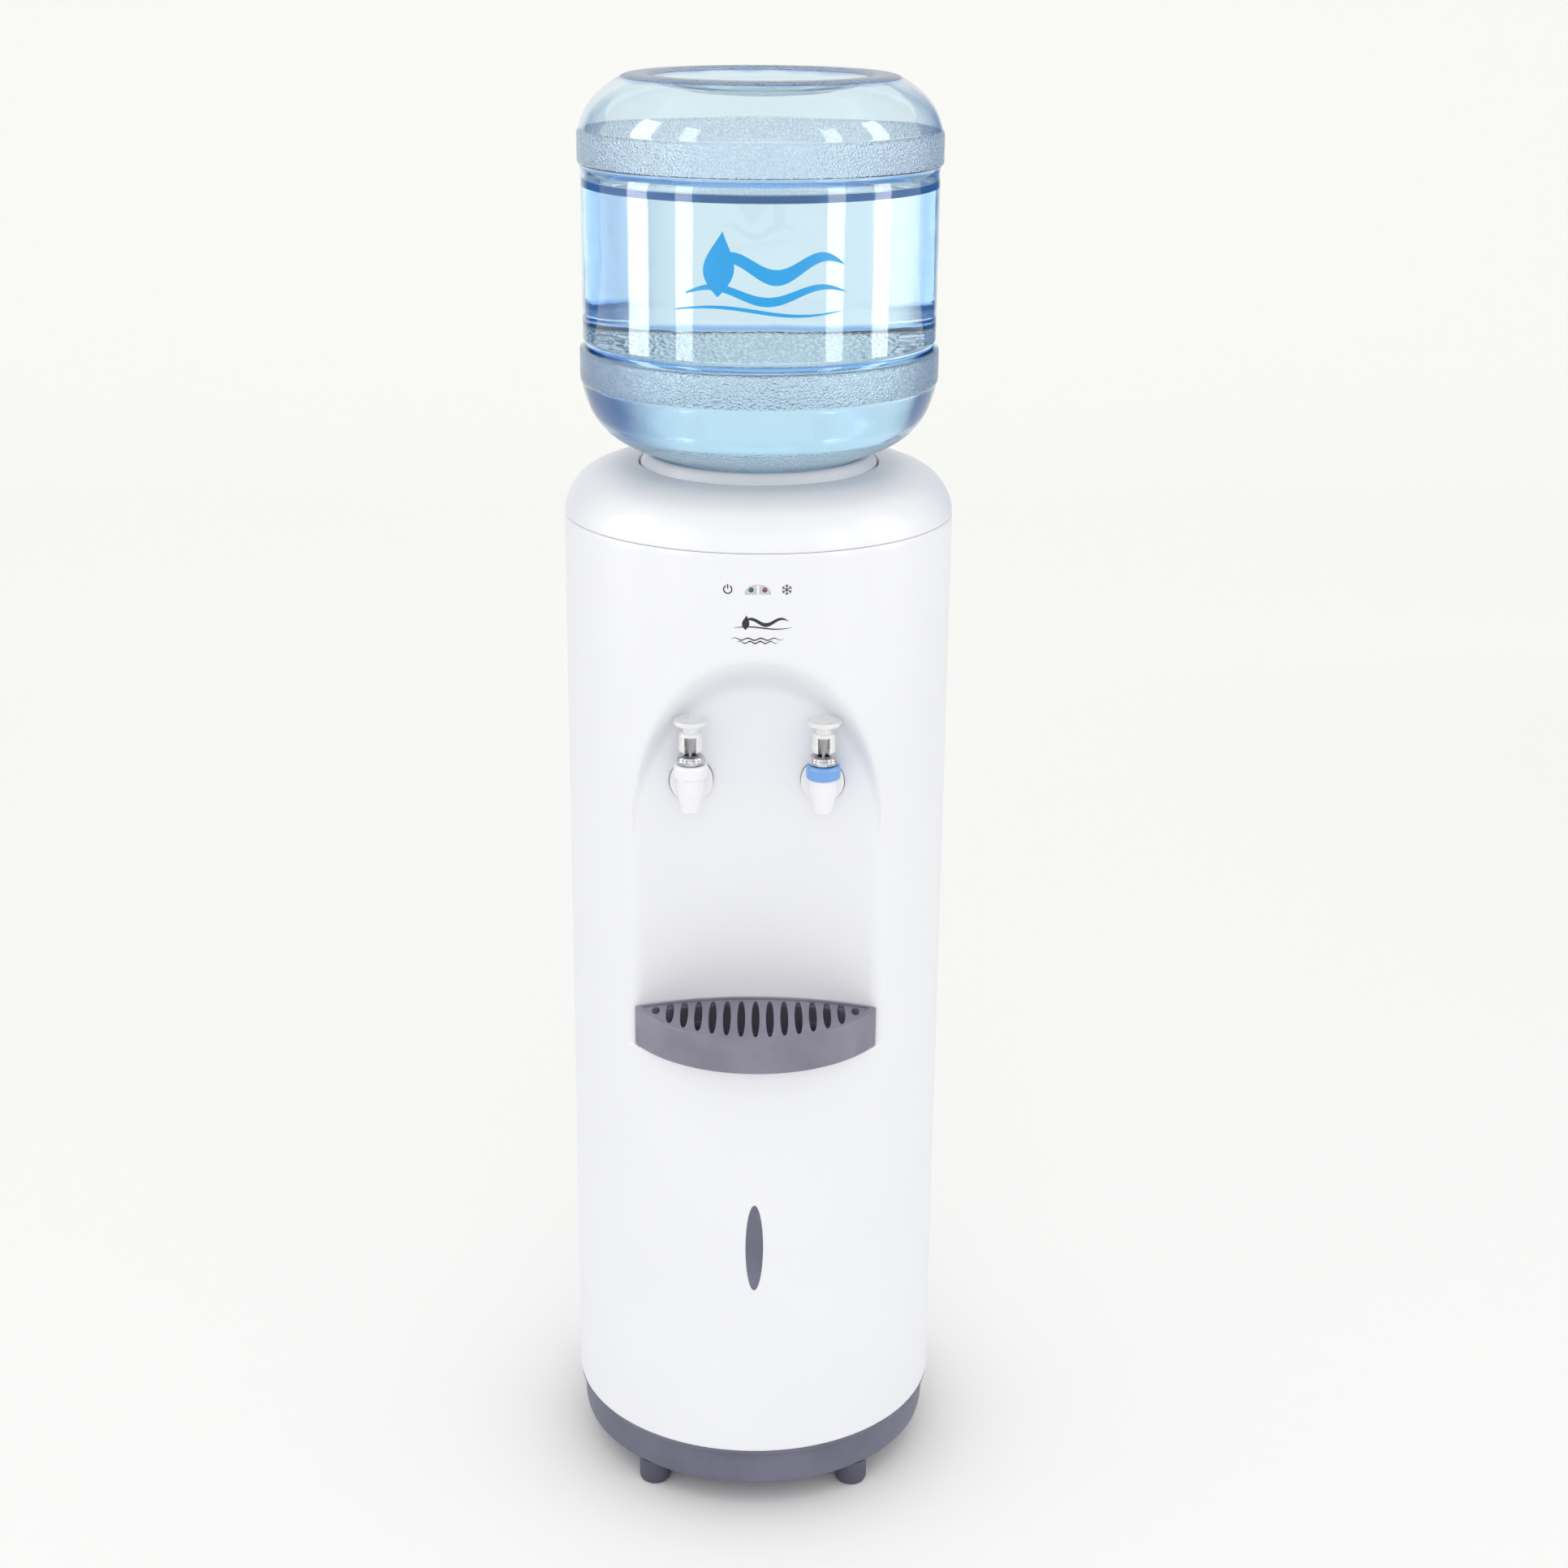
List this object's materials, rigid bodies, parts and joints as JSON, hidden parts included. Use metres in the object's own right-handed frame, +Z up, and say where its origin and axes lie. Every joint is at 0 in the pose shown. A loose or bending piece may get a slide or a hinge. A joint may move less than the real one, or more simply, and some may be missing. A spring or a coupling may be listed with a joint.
{
  "type": "bottled water dispenser",
  "caption": "Free-standing round water dispenser with upturned clear bottle, two lever taps over a grilled drip tray, and a thermoelectric cooler inside.",
  "frame": {"origin": "on the floor, at the middle of the whole object's footprint", "axes": "+Z up, -Y towards the user, +X to the user's right"},
  "size_m": [0.3, 0.335, 1.137],
  "materials": {
    "white": "gloss",
    "grey": "satin",
    "tray_grey": "satin",
    "steel": "satin",
    "chrome": "polished",
    "milky": "gloss",
    "green_lens": "gloss",
    "red_lens": "gloss",
    "board": "satin",
    "clear_blue": "gloss",
    "cap_blue": "satin",
    "foam": "matte",
    "hose": "satin",
    "silicone": "matte",
    "aluminium": "satin",
    "ceramic": "matte",
    "black": "satin",
    "ring_blue": "gloss"
  },
  "bodies": {
    "cabinet": {"front_cover": "white", "rear_cover": "white", "top_cover": "white", "rear_vent_grille": "grey", "rear_frame": "steel", "base_pan": "grey", "foot_front_left": "grey", "foot_front_right": "grey", "foot_rear_left": "grey", "foot_rear_right": "grey", "rear_screw_1": "steel", "rear_screw_2": "steel", "oval_trim": "grey", "indicator_bezel": "milky", "power_lamp": "green_lens", "cold_lamp": "red_lens", "lamp_board": "board", "bottle_seat": "white", "feed_probe": "milky", "cold_tank": "steel", "foam_jacket": "foam", "tank_lid": "white", "baffle_plate": "milky", "tank_shelf": "steel", "room_water_hose": "hose", "cold_water_hose": "hose", "drain_hose": "hose", "drain_spout": "white", "cold_block": "aluminium", "peltier_module": "ceramic", "heat_sink": "aluminium", "fan_frame": "black", "power_board": "board", "mains_inlet": "black", "switch_housing": "black", "tap_body_room": "white", "tap_bonnet_room": "white", "tap_ring_room": "chrome", "tap_nut_room": "white", "tap_body_cold": "white", "tap_bonnet_cold": "ring_blue", "tap_ring_cold": "chrome", "tap_nut_cold": "white"},
    "bottle_body": {"bottle": "clear_blue", "bottle_cap": "cap_blue"},
    "tray_body": {"drip_tray": "tray_grey"},
    "grille_body": {"drip_grille": "tray_grey"},
    "fan_wheel": {"fan_rotor": "black"},
    "rocker": {"switch_rocker": "black"},
    "drain_cap_body": {"drain_cap": "white"},
    "room_stem": {"tap_stem_room": "steel", "tap_seal_room": "silicone", "tap_spring_room": "steel"},
    "room_lever": {"tap_lever_room": "milky", "tap_pin_room": "steel"},
    "cold_stem": {"tap_stem_cold": "steel", "tap_seal_cold": "silicone", "tap_spring_cold": "steel"},
    "cold_lever": {"tap_lever_cold": "milky", "tap_pin_cold": "steel"}
  },
  "joints": [
    {"name": "bottle_lift", "type": "slide", "parent": "cabinet", "child": "bottle_body", "axis": [0, 0, 1], "range_m": [0, 0.12]},
    {"name": "tray_slide", "type": "slide", "parent": "cabinet", "child": "tray_body", "axis": [0, -1, 0], "range_m": [0, 0.09]},
    {"name": "grille_lift", "type": "slide", "parent": "tray_body", "child": "grille_body", "axis": [0, 0, 1], "range_m": [0, 0.05]},
    {"name": "room_stem_lift", "type": "slide", "parent": "cabinet", "child": "room_stem", "axis": [0, 0, 1], "range_m": [0, 0.0026], "stiffness_N_per_m": 300, "deforming": ["tap_spring_room"]},
    {"name": "room_lever_tilt", "type": "hinge", "parent": "room_stem", "child": "room_lever", "pos_m": [-0.05, -0.1095, 0.659], "axis": [1, 0, 0], "range_deg": [0, 27]},
    {"name": "cold_stem_lift", "type": "slide", "parent": "cabinet", "child": "cold_stem", "axis": [0, 0, 1], "range_m": [0, 0.0026], "stiffness_N_per_m": 300, "deforming": ["tap_spring_cold"]},
    {"name": "cold_lever_tilt", "type": "hinge", "parent": "cold_stem", "child": "cold_lever", "pos_m": [0.05, -0.1095, 0.659], "axis": [1, 0, 0], "range_deg": [0, 27]},
    {"name": "fan_spin", "type": "hinge", "parent": "cabinet", "child": "fan_wheel", "pos_m": [0, 0.1319, 0.69], "axis": [0, 1, 0], "continuous": true},
    {"name": "switch_rock", "type": "hinge", "parent": "cabinet", "child": "rocker", "pos_m": [0, 0.1521, 0.165], "axis": [0, 0, 1], "range_deg": [-18, 0]},
    {"name": "drain_cap_pull", "type": "slide", "parent": "cabinet", "child": "drain_cap_body", "axis": [0, 1, 0], "range_m": [0, 0.03]}
  ],
  "couplings": [
    {"joint": "room_lever_tilt", "follows": "room_stem_lift", "rad_per_m": 167},
    {"joint": "cold_lever_tilt", "follows": "cold_stem_lift", "rad_per_m": 167}
  ]
}
